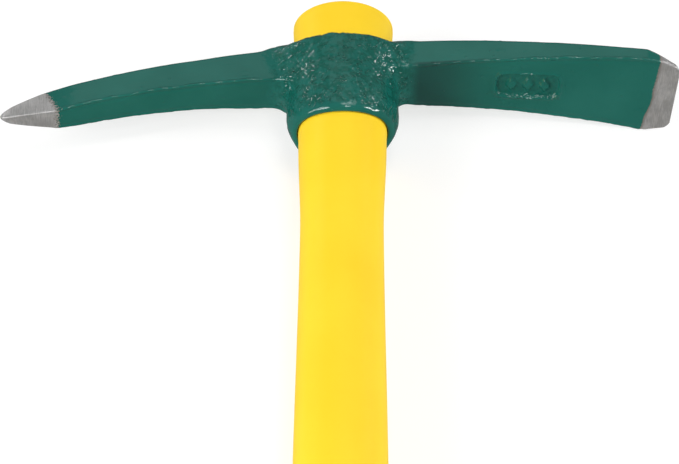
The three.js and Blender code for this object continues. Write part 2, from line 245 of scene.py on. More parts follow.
def adze_arm(x):
    """Underside, top and half-width of the adze: parabolas that thin and widen it, then a steep
    straight bevel on top down to the edge, whose corners are rounded off."""
    s = np.clip(x - ARM_ROOT, -2 * ARM_ROOT, None)
    bevel = np.clip(x - BEVEL_START, 0, None)
    flat = s - bevel
    bottom = -22.35 + 0.0045 * s - 0.000731 * (x - 75) ** 2
    top = 0.4 - 0.023 * flat - 0.00082 * flat**2 - 0.60 * bevel
    corner = 0.3 * np.clip(x - 196, 0, None) ** 2
    half = 17.3 + 0.075 * flat + 0.00012 * flat**2 - 0.0143 * bevel**2 - corner
    return bottom, top, half


def arm(x):
    """The pick's values left of the collar and the adze's right of it, eased over inside it. The
    nose closes the pick's point like the end of an ellipse."""
    share = ease(x, -34, 34)
    bottom, top, half = (between(p, a, share) for p, a in zip(pick_arm(x), adze_arm(x)))
    nose = np.sqrt(np.clip(1 - (np.clip(PICK_TIP + NOSE - x, 0, None) / NOSE) ** 2, 0, 1))
    middle = (bottom + top) / 2
    return between(middle, bottom, nose), between(middle, top, nose), half * nose


for at in (-150.0, 120.0):
    section = [float(value.round(1)) for value in arm(np.array(at))]
    print(f"section at x = {at:.0f}: underside, top, half-width", section)

# %% The collar, and the whole forging
COLLAR_X, COLLAR_Z = 33.2, 29.6
COLLAR_TOP, COLLAR_BOTTOM = -4.6, -69.3
SHOULDER_OUT = 9.3         # the collar is longer by this much at each arm's root
SKIRT_TOP, LIP_RISE = -52.0, 6.0
DRAW_IN = 0.3              # below SKIRT_TOP the skirt draws in by this much towards the lip,
DRAW_IN_PICK, DRAW_IN_ADZE = 6.4, 8.2   # and by this much more under each arm
LIP_SLOPE, LIP_TILT = 0.4, 0.025        # the lip rises outwards, and towards the adze


def forging(x, y, z):
    """Below zero inside the head. The bar is the largest of three distances, to its drafted sides,
    top and underside. The collar is the largest of the distances to its oval wall, lip and top.
    Under the arms the lip stands higher and the wall draws in towards it, and the lip slopes up
    towards its outer edge. Edges are rounded by smooth maxima, the joint by a smooth minimum."""
    bottom, top, half = arm(x)
    edge = np.minimum(2.2, 0.4 * np.minimum(top - bottom, 2 * half) + 1e-6)
    side = np.abs(z) - half + DRAFT * (y - bottom)
    bar = smooth_max(smooth_max(side, y - top, 1.6 * edge), bottom - y, edge)
    long_x = COLLAR_X + ease(y, -30, -8) * SHOULDER_OUT
    reach = np.hypot(x / long_x, z / COLLAR_Z) + 1e-9
    oval = (reach - 1) * (COLLAR_X + COLLAR_Z) / 2
    under_arm = (x / long_x / reach) ** 2
    down_skirt = np.clip((SKIRT_TOP - y) / (SKIRT_TOP - COLLAR_BOTTOM), 0, 1.2) ** 1.7
    draw_in = between(DRAW_IN_PICK, DRAW_IN_ADZE, ease(x, -10, 10)) * under_arm + DRAW_IN
    wall = oval + draw_in * down_skirt
    slope = LIP_SLOPE * np.clip(oval + 4.0, 0, 6)
    lip = COLLAR_BOTTOM + 0.3 + LIP_RISE * under_arm + LIP_TILT * x + slope
    collar = smooth_max(smooth_max(wall, lip - y, 2.4), y - COLLAR_TOP, 5.0)
    fillet = between(between(13.0, 9.5, ease(y, -30, -8)), 8.0, ease(x, -20, 20))
    return smooth_min(bar, collar, fillet)


def zero_between(field, inside, outside, steps=36):
    """Halves the stretch from a point inside the steel to one outside until the field's zero is
    found, for whole arrays of stretches at once."""
    for _ in range(steps):
        middle = (inside + outside) / 2
        in_steel = field(middle) < 0
        inside = np.where(in_steel, middle, inside)
        outside = np.where(in_steel, outside, middle)
    return (inside + outside) / 2


# %% [markdown]
# ## The skin of the forging
#
# A field has no points to draw, so the skin is found by shooting rays. Section planes stand along
# the head like slices of bread, and fan out round the collar's corners. In each slice, rays leave
# the middle towards evenly planned points of a guide rectangle, and each stops where the field is
# zero. Row after row the same ray hits the arm's lower edge, so that edge stays a clean line of
# points with extra neighbours close by, where the flash seam will need them.

# %% Section planes and rays
def stretch(low, high, count):
    """Evenly spaced values from low to high, without the last."""
    return np.linspace(low, high, count, endpoint=False)


def fan_path(side, count):
    """Lower ends of the fanned planes: in along the arm's underside, round the fillet, down the
    skirt and in under the lip, at even steps along the way."""
    root = arm(np.array(side * 50.0))[0]
    underside = (-32.5, -38.0) if side < 0 else (-25.0, -32.0)
    corners = np.array([
        (side * 50, root), (side * 40.5, underside[0]), (side * 36, underside[1]), (side * 34, -48),
        (side * 32.5, -60), (side * 28.5, COLLAR_BOTTOM + 1.5), (side * 23, COLLAR_BOTTOM),
    ], dtype=float)
    walked = np.r_[0, np.cumsum(np.hypot(*np.diff(corners, axis=0).T))]
    at = stretch(0, walked[-1], count)
    return np.interp(at, walked, corners[:, 0]), np.interp(at, walked, corners[:, 1])


def upright_planes(x):
    """One row per plane: lower end x, y, upper end x, y, and the guide's half-width."""
    bottom, top, half = arm(x)
    return np.stack([x, bottom, x, top, half], -1)


def fanned_planes(side, count):
    """Planes from upright at the arm's root to nearly upright under the collar's corner, their
    upper ends walking in along the arm's top."""
    share = stretch(0, 1, count)
    low_x, low_y = fan_path(side, count)
    high_x = side * between(50.0, 21.0, share)
    half = between(arm(np.array(side * 50.0))[2], 28.0, ease(share, 0, 1))
    return np.stack([low_x, low_y, high_x, arm(high_x)[1], half], -1)


def collar_planes(count):
    """Planes across the collar, between the two fans."""
    x = stretch(-23, 23, count)
    flat = np.full_like(x, COLLAR_BOTTOM)
    return np.stack([x, flat, x * 21 / 23, arm(x * 21 / 23)[1], np.full_like(x, 29.0)], -1)


tip_side = PICK_TIP + 0.05 + 154 * stretch(0, 1, 112) ** 1.35
root_to_panel, past_panel = stretch(50, 92, 28), stretch(135, 178, 30)
adze_side = np.r_[root_to_panel, stretch(92, 135, 74), past_panel, np.linspace(178, ADZE_EDGE, 30)]
planes = np.concatenate([
    upright_planes(tip_side),
    fanned_planes(-1, 54),
    collar_planes(70),
    fanned_planes(1, 55)[::-1][:-1],
    upright_planes(adze_side),
])
print("section planes:", len(planes))

# %% Where the rays stop
UNDER_ROWS, SIDE_ROWS, TOP_ROWS = 28, 58, 18
EDGE_SKEW = 0.045          # the adze's edge stands askew by this slope


def guide_rows():
    """Points of the guide rectangle from the middle of its underside, round the lower edge (with
    closer spacing there) and up the side to the middle of its top."""
    under = stretch(0, 1, UNDER_ROWS)
    up = stretch(0, 1, SIDE_ROWS)
    over = np.linspace(0, 1, TOP_ROWS + 1)
    across = np.r_[1 - (0.6 * (1 - under) + 0.4 * (1 - under) ** 2), np.ones(SIDE_ROWS), 1 - over]
    height = np.r_[-np.ones(UNDER_ROWS), -1 + 2 * (0.6 * up + 0.4 * up**2), np.ones(TOP_ROWS + 1)]
    return across, height


def skin(planes):
    """Half of the skin, from the middle of the underside to the middle of the top on the +Z side:
    each ray runs from its plane's middle through its guide point until the field is zero."""
    low, high, half = planes[:, None, 0:2], planes[:, None, 2:4], planes[:, 4:5]
    middle = (low + high) / 2
    tall = np.linalg.norm(high - low, axis=-1) / 2
    along = (high - low) / (2 * tall[..., None])
    across, height = guide_rows()
    ray_z, ray_up = half * across, tall * height
    length = np.hypot(ray_z, ray_up)

    def at(distance):
        step = (distance * ray_up / length)[..., None]
        x, y = np.moveaxis(middle + along * step, -1, 0)
        return x, y, distance * ray_z / length

    centre, far_out = np.zeros_like(length), np.full_like(length, 60.0)
    distance = zero_between(lambda d: forging(*at(d)), centre, far_out)
    return np.stack(at(distance), -1)


half_skin = skin(planes)
mirrored = half_skin[:, -2:0:-1] * np.array([1, 1, -1])
bare_skin = np.concatenate([half_skin, mirrored], axis=1)
bare_skin[..., 0] += EDGE_SKEW * bare_skin[..., 2] * ease(bare_skin[..., 0], 150, ADZE_EDGE)
print("skin grid:", bare_skin.shape[:2])

# %% [markdown]
# ## Relief in the steel
#
# Real relief catches light at the outline too, so everything wider than about a millimetre is
# moved in the mesh and only finer grain is left to the paint's bump. Each point moves along the
# surface's normal by a sum of small heights: slow waves all over, lumps and dimples on the collar
# where the scale was never cleaned off (but not at its lip, whose rim is clean), a ragged flash
# seam along the arms' lower edges where the two dies met, strong on one side and faint on the
# other, and the sunk marking panel with plain lozenges under lumpy paint.

# %% Heights added along the normal
LIP_CLEAN = 2.5, 6.5       # the collar's roughness fades in between these heights above the lip


def grid_normals(grid):
    """Cross products of the steps along rows and columns, wrapped round the columns."""
    down = np.gradient(grid, axis=0)
    round_ = (np.roll(grid, -1, axis=1) - np.roll(grid, 1, axis=1)) / 2
    normal = np.cross(round_, down)
    return normal / (np.linalg.norm(normal, axis=-1, keepdims=True) + 1e-12)


def near_collar(points):
    """1 on the collar, easing to 0 a little way out on both arms and, for a clean rim, at the lip."""
    x, y, _ = np.moveaxis(points, -1, 0)
    above_lip = y - COLLAR_BOTTOM - LIP_RISE * (x / COLLAR_X) ** 2
    return (1 - ease(np.abs(x), 33, 46)) * between(0.1, 1.0, ease(above_lip, *LIP_CLEAN))


def seam_height(points):
    """A ragged bead on the arms' lower edges, with a shallow groove under it: bell curves of the
    distance to the edge line. Height and place wander with noise along the arm."""
    x, y, z = np.moveaxis(points, -1, 0)
    bottom, _, half = arm(x)
    along = np.stack([x, 0 * x, 40 * np.sign(z)], -1)
    wander = 0.55 * noise(along, 7.0)
    off_side, off_bottom = np.abs(z) - half, y - bottom - wander
    ragged = (1.0 + 0.65 * rough(along + 50, 3.0, 2)) * np.where(z > 0, 1.0, 0.35)
    bead = ragged * np.exp(-((np.hypot(off_side + 0.5, off_bottom - 0.6) / 0.75) ** 2))
    groove = -0.45 * np.exp(-((np.hypot(off_side + 2.4, off_bottom) / 1.1) ** 2))
    on_arm = ease(np.abs(x), 38, 50) * (1 - ease(x, 186, 192)) * (1 - 0.7 * ease(-x, 168, 176))
    return on_arm * (bead + groove)


def rounded_oblong(x, z, half_x, half_z, radius):
    """Signed distance to an oblong with round corners: below zero inside."""
    out_x, out_z = np.abs(x) - half_x + radius, np.abs(z) - half_z + radius
    outside = np.hypot(np.clip(out_x, 0, None), np.clip(out_z, 0, None))
    return outside + np.minimum(np.maximum(out_x, out_z), 0) - radius


PANEL_X, PANEL_Z = 111.5, 0.8
PANEL_HALF_X, PANEL_HALF_Z, PANEL_SUNK = 19.0, 9.5, 1.7


def panel_height(points, normals):
    """The marking panel: a sunk oblong with a soft raised border, three lozenges as high as it is
    deep, and lumpy paint inside. It lies only on the adze's underside."""
    x, z = points[..., 0] - PANEL_X, points[..., 2] - PANEL_Z
    oblong = rounded_oblong(x, z, PANEL_HALF_X, PANEL_HALF_Z, 6.0)
    inside = 1 - ease(oblong, -0.9, 0.3)
    border = (0.95 + 0.5 * noise(points, 4.0)) * np.exp(-(((oblong - 0.9) / 0.8) ** 2))
    lozenges = 0.0
    for middle in (-10, 0, 10):
        off_lozenge = np.abs(x - middle) / 3.6 + np.abs(z) / 5.4 - 1
        lozenges = lozenges + 1 - ease(off_lozenge * 3, -0.7, 0.5)
    lumps = 0.34 * noise(points, 2.1) * inside
    height = (PANEL_SUNK * lozenges - PANEL_SUNK) * inside + border + lumps
    return np.where(normals[..., 1] < -0.7, height, 0.0)


def forging_relief(points, normals):
    """The sum of all the small heights, of which the ground point and edge keep only a little."""
    collar = near_collar(points)
    ground = np.maximum(ease(-points[..., 0], 168, 174), ease(points[..., 0], 184, 190))
    waves = 0.16 * rough(points, 26.0, 2) * (1 - 0.6 * ground)
    lumps = 0.34 * rough(points + 31, 8.0, 2) * (0.12 + 0.88 * collar) * (1 - ground)
    dimples = -0.80 * np.clip(rough(points + 63, 3.6, 2) - 0.25, 0, None) * collar
    pimples = 0.7 * np.clip(noise(points + 11, 2.3) - 0.62, 0, None) * (1 - ground)
    return waves + lumps + dimples + pimples + seam_height(points) + panel_height(points, normals)


normals = grid_normals(bare_skin)
one_row = bare_skin[200]
outward = np.sign((normals[200] * (one_row - one_row.mean(0))).sum())
head_grid = bare_skin + normals * outward * forging_relief(bare_skin, normals * outward)[..., None]
tip = np.broadcast_to(head_grid[0].mean(0) - [0.05, 0, 0], head_grid[:1].shape)
edge = np.broadcast_to(head_grid[-1].mean(0), head_grid[:1].shape)
head_grid = np.concatenate([tip, head_grid, edge])
moved = head_grid[1:-1] - bare_skin
print("relief from", moved.min().round(2), "to", moved.max().round(2))

# %% [markdown]
# ## The eye
#
# The eye is a tapered oval hole with rounded mouths. Cutting it with a boolean keeps the hole's
# wall true to the handle. The cutter is again a grid: for each direction round the eye the lip's
# own height is looked up in the field, so the rounding follows the lip as it rises under the arms.

# %% The eye's cutter
EYE_COLUMNS = 160
MOUTH = 0.9                # radius of the eye's rounded mouths


def eye_cutter():
    """Profile at each angle: far below, a quarter round at the lip, the tapered wall, a quarter
    round at the top, far above. The wall stands GAP + 0.3 outside the handle."""
    angle = stretch(0, 2 * np.pi, EYE_COLUMNS)
    spread = GAP + 0.3
    low_x, low_z = handle_half(np.full(EYE_COLUMNS, COLLAR_BOTTOM))
    ring_x, ring_z = (low_x + spread) * np.cos(angle), (low_z + spread) * np.sin(angle)
    rows = []

    def surface_height(inside, outside):
        """The height at which the forging ends above or below each point of the ring."""
        inside, outside = np.full(EYE_COLUMNS, inside), np.full(EYE_COLUMNS, outside)
        return zero_between(lambda y: forging(ring_x, y, ring_z), inside, outside)

    def ring(y, out):
        half_x, half_z = handle_half(y)
        rows.append(np.stack([(half_x + out) * np.cos(angle), y, (half_z + out) * np.sin(angle)], -1))

    lip, rim = surface_height(-50.0, -72.0), surface_height(-20.0, 8.0)
    turns = np.linspace(0, np.pi / 2, 7)
    ring(lip - 12, spread + MOUTH + 5)
    for turn in turns[::-1]:
        ring(lip + MOUTH * (1 - np.sin(turn)) - 0.15, spread + MOUTH * (1 - np.cos(turn)))
    for share in np.linspace(0.1, 0.9, 9):
        ring(between(lip, rim, share), spread)
    for turn in turns:
        ring(rim - MOUTH * (1 - np.sin(turn)) + 0.15, spread + MOUTH * (1 - np.cos(turn)))
    ring(rim + 14, spread + MOUTH + 5)
    grid = np.array(rows)
    ends = [np.broadcast_to(row.mean(0), row.shape)[None] for row in (grid[0], grid[-1])]
    return np.concatenate([ends[0], grid, ends[1]])


def cut(piece, cutter):
    """Takes the cutter out of the piece for good and deletes the cutter."""
    modifier = piece.modifiers.new("eye", "BOOLEAN")
    modifier.operation = "DIFFERENCE"
    modifier.solver = "MANIFOLD"
    modifier.object = cutter
    graph = bpy.context.evaluated_depsgraph_get()
    finished = bpy.data.meshes.new_from_object(piece.evaluated_get(graph))
    piece.modifiers.clear()
    piece.data = finished
    bpy.data.objects.remove(cutter)


head = surface("forged_head", head_grid)
cut(head, surface("eye_cutter", eye_cutter()))
shade(head.data, 55)
print("head with its eye:", len(head.data.polygons), "faces")

# %% [markdown]
# ## The handle's jacket
#
# The jacket is moulded in two halves of a die that part in the plane of the head, so a hair-thin
# parting line runs down both narrow sides. An oval carried along a profile makes it: outside from
# the grip to the fat end, over the rounded edge, down the recess for the plug, and back down the
# inside, so that it is a real hollow part with a wall.

# %% Ovals carried along a profile
def oval_grid(y, half_x, half_z, columns, extra=None):
    """Rings of an ellipse, one for each profile point. extra(angle, y) is added to both
    half-widths, so it raises or sinks a pattern on the outside."""
    angle = stretch(0, 2 * np.pi, columns)
    angle = angle - 0.18 * np.sin(2 * angle)
    lift = 0.0 if extra is None else extra(angle[None, :], y[:, None])
    x = (half_x[:, None] + lift) * np.cos(angle)
    z = (half_z[:, None] + lift) * np.sin(angle)
    return np.stack([x, np.broadcast_to(y[:, None], x.shape), z], -1)


GRIP_BOTTOM = HANDLE_BUTT + 9.0
GRIP_TOP = -660.0
GRIP_WALL = 3.2
PLUG_X, PLUG_Z = 21.0, 16.0
TOP_EDGE = 0.9


def jacket_profile():
    """Profile points (y, half_x, half_z) round the wall, closed on itself."""
    under_grip = np.linspace(GRIP_BOTTOM + GAP, GRIP_TOP, 12)
    swell = np.linspace(GRIP_TOP + 0.02, -150, 70)
    flare = np.linspace(-147, HANDLE_TOP - TOP_EDGE, 90)
    y = np.r_[under_grip, swell, flare]
    half_x, half_z = handle_half(y)
    drop = np.where(y <= GRIP_TOP, GRIP_WALL, 0.0)
    turn = np.linspace(0, np.pi / 2, 7)[1:]
    edge_y = HANDLE_TOP - TOP_EDGE * (1 - np.sin(turn))
    edge_in = TOP_EDGE * (1 - np.cos(turn))
    edge_x, edge_z = handle_half(edge_y)
    inner_y = np.array([HANDLE_TOP, HANDLE_TOP - 0.5, 12.0, 11.9, GRIP_BOTTOM + GAP])
    inner_x = PLUG_X + GAP + np.array([0.6, 0, 0, -6.0, -8.0])
    inner_z = PLUG_Z + GAP + np.array([0.6, 0, 0, -4.5, -6.0])
    return (np.r_[y, edge_y, inner_y], np.r_[half_x - drop, edge_x - edge_in, inner_x],
            np.r_[half_z - drop, edge_z - edge_in, inner_z])


def parting_line(angle, y):
    """A bead 0.14 mm high on the two narrow sides, between the grip and the fat end's rounded edge."""
    across = np.sin(angle) * 24
    outside = (y > GRIP_TOP) & (y < HANDLE_TOP - TOP_EDGE)
    return np.where(outside, 0.14 * np.exp(-((across / 0.7) ** 2)), 0.0)


jacket = surface("yellow_jacket", oval_grid(*jacket_profile(), 144, parting_line), closed_rows=True)

# %% [markdown]
# The plug that closes the fat end is a small moulding of its own. It sits a little below the edge
# and has a shallow dished face with a low rib round it and the stub of its casting gate.

# %% The end plug
def plug_grid():
    """Profile up the plug's side and in over its face: a low rib, then a shallow dish."""
    side = np.array([[13.2, 1.0], [22.9, 1.0]])
    share = np.r_[0.985, np.linspace(0.95, 0.0, 24)]
    rib = 0.7 * np.exp(-(((share - 0.8) / 0.035) ** 2))
    gate = 0.8 * (1 - ease(share, 0.07, 0.12))
    face = HANDLE_TOP - 1.7 + rib + gate - 0.5 * (1 - share**2)
    y = np.r_[13.2, side[:, 0], face]
    scale = np.r_[0.0, side[:, 1], share]
    return oval_grid(y, PLUG_X * scale, PLUG_Z * scale, 96)


plug = surface("end_plug", plug_grid())

# %% [markdown]
# ## Grip and butt cap
#
# The rubber grip is a sleeve with raised rings and, between them, rows of short flutes that keep
# wet gloves from slipping. Both patterns are plain cosines of the height and the angle, sharpened
# by an ease curve, and they fade out before the sleeve's ends.

# %% The grip
RINGS = 7
RING_PITCH = (GRIP_TOP - GRIP_BOTTOM - 60) / RINGS
FLUTES = 30


def grip_pattern(angle, y):
    """Sunk 0.8 mm between rings; in each sunk band, flutes raised 0.45 mm. Only on the outside."""
    along = (y - GRIP_BOTTOM - 30) / RING_PITCH
    in_rings = (along > 0) & (along < RINGS)
    band = along % 1.0 * RING_PITCH
    sunk = ease(band, 0.0, 3.0) * (1 - ease(band, RING_PITCH - 8, RING_PITCH - 5))
    flute = ease(np.cos(FLUTES * angle), -0.1, 0.7) * ease(band, 4.0, 5.5)
    flute = flute * (1 - ease(band, RING_PITCH - 10.5, RING_PITCH - 9))
    return np.where(in_rings, sunk * (0.45 * flute - 0.8), 0.0)


def grip_grid():
    outer_y = np.linspace(GRIP_BOTTOM + GAP + 1.0, GRIP_TOP - 2.0, 300)
    turn = np.linspace(0, np.pi / 2, 6)[1:]
    top_y = GRIP_TOP - 2.0 + 1.7 * np.sin(turn)
    top_in = 1.4 * (1 - np.cos(turn))
    inner_y = np.array([GRIP_TOP - GAP, GRIP_BOTTOM + GAP])
    y = np.r_[outer_y, top_y, inner_y, GRIP_BOTTOM + GAP]
    half_x, half_z = handle_half(y)
    inset = np.r_[np.zeros(300), top_in, GRIP_WALL - GAP, GRIP_WALL - GAP, 0.6]
    outside = np.arange(len(y)) < 300
    pattern = lambda angle, at: grip_pattern(angle, at) * outside[:, None]
    return oval_grid(y, half_x - inset, half_z - inset, 240, pattern)


grip = surface("rubber_grip", grip_grid(), closed_rows=True)

# %% The butt cap
def cap_grid():
    """From the joint with the grip down the side, round the edge, and over a dished face with a
    raised oval rib, to the middle."""
    turn = np.linspace(0, np.pi / 2, 8)
    round_y = HANDLE_BUTT + 2.5 * (1 - np.sin(turn))
    round_in = 2.5 * (1 - np.cos(turn))
    side_y = np.array([GRIP_BOTTOM, GRIP_BOTTOM, GRIP_BOTTOM - 0.5])
    side_in = np.array([24.0, 0.5, 0.0])
    share = np.linspace(0.97, 0.0, 30)
    dish = 0.9 * ease(1 - share, 0.05, 0.14) - 0.7 * np.exp(-(((share - 0.55) / 0.04) ** 2))
    half_x, half_z = (float(h[0]) for h in handle_half(np.array([HANDLE_BUTT])))
    y = np.r_[side_y, round_y, HANDLE_BUTT + dish]
    inset = np.r_[side_in, round_in]
    face_x, face_z = (half_x - 2.5) * share, (half_z - 2.5) * share
    x = np.r_[np.clip(half_x - inset, 0, None), face_x]
    z = np.r_[np.clip(half_z - inset, 0, None), face_z]
    x[0] = z[0] = 0.0
    return oval_grid(y, x, z, 120)


cap = surface("butt_end_cap", cap_grid())

# %% [markdown]
# ## A small language for finishes
#
# Node trees are easier to read as sums. A Signal wraps a socket, and + - * / on it add Math nodes.
# A Finish is one material: its add method makes any node from its type, its settings and what
# goes into its sockets, and the few methods below it name the patterns that the finishes share.

# %% Signals and finishes
class Signal:
    """A number that varies over a surface: the output socket of a node."""

    def __init__(self, finish, socket):
        self.finish, self.socket = finish, socket

    def math(self, operation, first, second):
        return self.finish.add("ShaderNodeMath", {"operation": operation}, {0: first, 1: second})

    def __add__(self, other):
        return self.math("ADD", self, other)

    def __sub__(self, other):
        return self.math("SUBTRACT", self, other)

    def __rsub__(self, other):
        return self.math("SUBTRACT", other, self)

    def __mul__(self, other):
        return self.math("MULTIPLY", self, other)

    __radd__ = __add__
    __rmul__ = __mul__


def colour(red, green, blue):
    """A screen colour, 0 to 255, as linear light with full alpha."""
    screen = np.array([red, green, blue]) / 255
    linear = np.where(screen <= 0.04045, screen / 12.92, ((screen + 0.055) / 1.055) ** 2.4)
    return (*linear.tolist(), 1.0)


class Finish:
    """One procedural material on a Principled shader. Constants go straight to its sockets."""

    def __init__(self, name, **constants):
        self.material = bpy.data.materials.new(name)
        self.material.use_nodes = True
        self.nodes, self.links = self.material.node_tree.nodes, self.material.node_tree.links
        self.shader = self.nodes["Principled BSDF"]
        for socket, value in constants.items():
            self.feed(self.shader.inputs[socket.replace("_", " ")], value)
        self.place = self.add("ShaderNodeTexCoord", output="Object")

    def feed(self, socket, value):
        if isinstance(value, Signal):
            self.links.new(value.socket, socket)
        else:
            socket.default_value = value

    def add(self, kind, settings=None, sockets=None, output=0):
        node = self.nodes.new(kind)
        for name, value in (settings or {}).items():
            setattr(node, name, value)
        for name, value in (sockets or {}).items():
            self.feed(node.inputs[name], value)
        return Signal(self, node.outputs[output])

    def moved(self, shift=(0, 0, 0), turn=(0, 0, 0), scale=(1, 1, 1)):
        sockets = {"Vector": self.place, "Location": shift, "Rotation": turn, "Scale": scale}
        return self.add("ShaderNodeMapping", None, sockets)

    def grain(self, size_mm, detail=2.0, roughness=0.5, place=None):
        """Soft noise from 0 to 1 with features of about the given size."""
        sockets = {"Vector": place or self.place, "Scale": 1 / (size_mm * MM), "Detail": detail,
                   "Roughness": roughness}
        return self.add("ShaderNodeTexNoise", None, sockets)

    def cells(self, size_mm, feature="F1"):
        """Distance to the nearest of many scattered points about the given size apart."""
        sockets = {"Vector": self.place, "Scale": 1 / (size_mm * MM)}
        return self.add("ShaderNodeTexVoronoi", {"feature": feature}, sockets, output="Distance")

    def magnitude(self, value):
        """The value without its sign."""
        return self.add("ShaderNodeMath", {"operation": "ABSOLUTE"}, {0: value})

    def ramp(self, value, low, high, start=0.0, end=1.0):
        """start below low, end above high, eased between."""
        sockets = {"Value": value, 1: low, 2: high, 3: start, 4: end}
        return self.add("ShaderNodeMapRange", {"interpolation_type": "SMOOTHSTEP"}, sockets)

    def mix(self, share, first, second):
        """Two colours mixed by a share from 0 to 1."""
        settings = {"data_type": "RGBA", "clamp_factor": True}
        return self.add("ShaderNodeMix", settings, {0: share, 6: first, 7: second}, output=2)

    def bump(self, height_mm):
        """A bump from a height given in millimetres, fed to the shader's Normal."""
        height = self.add("ShaderNodeBump", None, {"Height": height_mm, "Distance": MM})
        self.feed(self.shader.inputs["Normal"], height)

    def coat(self, **sockets):
        for name, value in sockets.items():
            self.feed(self.shader.inputs[name.replace("_", " ")], value)

    def on(self, *pieces):
        for piece in pieces:
            piece.data.materials.clear()
            piece.data.materials.append(self.material)


# %% [markdown]
# ## Enamel over forged steel
#
# One finish covers the whole head, because paint and steel are on one surface. A mask says where
# the paint is: it stops short of the ground point and the ground edge, along a line that wanders
# as a dipped and wiped edge does. Under the paint the steel is a satin metal with grinding
# scratches, browned where paint has just worn off. Over it the enamel is deep green, thick and
# glossy: orange-peeled, pitted and curled on the collar, and peeled in the marking panel. Under the
# adze's root the paint is darkened by a painted shade that stands in for the collar's shadow.

# %% The head's finish
def enamel_on_steel():
    enamel = Finish("green_enamel_on_steel", Specular_IOR_Level=0.5)
    local = enamel.moved(shift=tuple(-TOOL_ORIGIN))
    x, y, z = (enamel.add("ShaderNodeSeparateXYZ", None, {0: local}, output=axis) * 1000 for axis in "XYZ")
    above_lip = y - COLLAR_BOTTOM - x * x * (LIP_RISE / COLLAR_X**2)
    off_lip = enamel.ramp(above_lip, *LIP_CLEAN, 0.15, 1.0)
    collar = enamel.ramp(enamel.magnitude(x), 34, 48, 1.0, 0.0) * off_lip

    slow, fast = enamel.grain(14, 3) - 0.5, enamel.grain(1.3, 3, 0.7) - 0.5
    pick_line = x + (y + 53) * 0.55 - z * 0.12 + slow * 5 + fast * 15
    adze_line = x + z * -0.07 + enamel.ramp(z, -24, -4, 2.5, 0.0) + slow * 3 + fast * 0.8
    painted = enamel.ramp(pick_line, -169.2, -168.4) * enamel.ramp(adze_line, 185.6, 186.4, 1.0, 0.0)
    worn_edge = enamel.ramp(pick_line, -171.5, -169) * enamel.ramp(adze_line, 186, 188, 1.0, 0.0)

    cloud = enamel.grain(38, 3)
    mottle = enamel.grain(4.5, 4, 0.6)
    thin = enamel.ramp(mottle + collar * 0.08, 0.54, 0.62)
    paint = enamel.mix(enamel.ramp(cloud, 0.3, 0.7), colour(16, 90, 80), colour(24, 96, 86))
    paint = enamel.mix(thin * 0.65 * collar, paint, colour(4, 76, 64))
    # Painted shade: the collar's shadow on the adze's underside near its root, darkening the paint there.
    root = enamel.ramp(x, 39, 47) * enamel.ramp(x, 52, 100, 1.0, 0.0)
    root_shade = root * enamel.ramp(y, -21.5, -19.5, 1.0, 0.0)
    paint = enamel.mix(root_shade * 0.75, paint, colour(18, 58, 53))

    scratches = enamel.grain(0.45, 3, 0.7, enamel.moved(turn=(0, 0, 0.05), scale=(1, 0.08, 0.08)))
    bright = enamel.ramp(scratches + enamel.grain(11, 3) * 0.7, 0.65, 1.1)
    steel = enamel.mix(bright, colour(160, 159, 158), colour(196, 195, 194))
    steel = enamel.mix(worn_edge * 0.7, steel, colour(128, 116, 106))

    peel = enamel.grain(1.5, 2, 0.5) * 0.25 + enamel.cells(2.6, "SMOOTH_F1") * 0.45
    pits = enamel.ramp(enamel.cells(3.1), 0.12, 0.30) * 0.22
    curl = enamel.magnitude(enamel.grain(6, 2, 0.6) - 0.5)
    curls = enamel.ramp(curl, 0.0, 0.022, 0.34, 0.0) * enamel.ramp(enamel.grain(9, 2), 0.48, 0.58)
    sleek = enamel.grain(2.6, 2) * 0.06 + enamel.ramp(enamel.cells(9), 0.05, 0.11, 0.16, 0.0)
    on_panel = enamel.ramp(y, -17, -15, 1.0, 0.0)
    for offset, half in ((x - PANEL_X, PANEL_HALF_X), (z - PANEL_Z, PANEL_HALF_Z)):
        on_panel = on_panel * enamel.ramp(enamel.magnitude(offset), half, half + 2, 1.0, 0.0)
    paint_height = (peel + pits + curls) * collar + sleek * (1 - collar) + peel * on_panel + 0.12
    enamel.bump(paint_height * painted + scratches * 0.015 * (1 - painted))
    enamel.coat(
        Base_Color=enamel.mix(painted, steel, paint),
        Metallic=enamel.ramp(painted, 0, 1, 0.6, 0.0),
        Roughness=enamel.ramp(painted, 0, 1, 0.42, 0.10) + (scratches - 0.5) * (1 - painted) * 0.1,
    )
    return enamel


enamel_on_steel().on(head)

# %% [markdown]
# ## Plastics and rubber
#
# The jacket is a satin polypropylene: one strong yellow with a few deeper specks, a trace of
# orange-peel from the tool steel, and faint handling scuffs that only show in the gloss. The rubber
# and the cap share a black with a fine stipple, and the hidden rod and build-up get the look of
# their own material.

# %% Finishes of the handle
def yellow_plastic():
    plastic = Finish("yellow_jacket_plastic", IOR=1.46, Specular_IOR_Level=0.3)
    cloud = plastic.ramp(plastic.grain(60, 3), 0.3, 0.7)
    speck = plastic.ramp(plastic.grain(1.1, 2), 0.62, 0.75)
    scuffs = plastic.grain(3, 4, 0.7, plastic.moved(scale=(1, 0.12, 1)))
    body = plastic.mix(cloud, colour(247, 206, 38), colour(250, 211, 44))
    body = plastic.mix(speck * 0.25, body, colour(244, 196, 24))
    peel = plastic.grain(0.9, 2) * 0.035 + plastic.grain(14, 2) * 0.10
    plastic.bump(peel - plastic.ramp(scuffs, 0.68, 0.74) * 0.02)
    plastic.coat(Base_Color=body, Roughness=plastic.ramp(scuffs, 0.55, 0.75, 0.46, 0.6))
    return plastic


def black_stipple(name, roughness, size_mm):
    stipple = Finish(name, Specular_IOR_Level=0.4)
    worn = stipple.ramp(stipple.grain(12, 3), 0.45, 0.75)
    stipple.bump(stipple.grain(size_mm, 2) * 0.09)
    stipple.coat(
        Base_Color=stipple.mix(worn, colour(30, 31, 32), colour(44, 45, 46)),
        Roughness=stipple.ramp(worn, 0, 1, roughness, roughness - 0.12),
    )
    return stipple


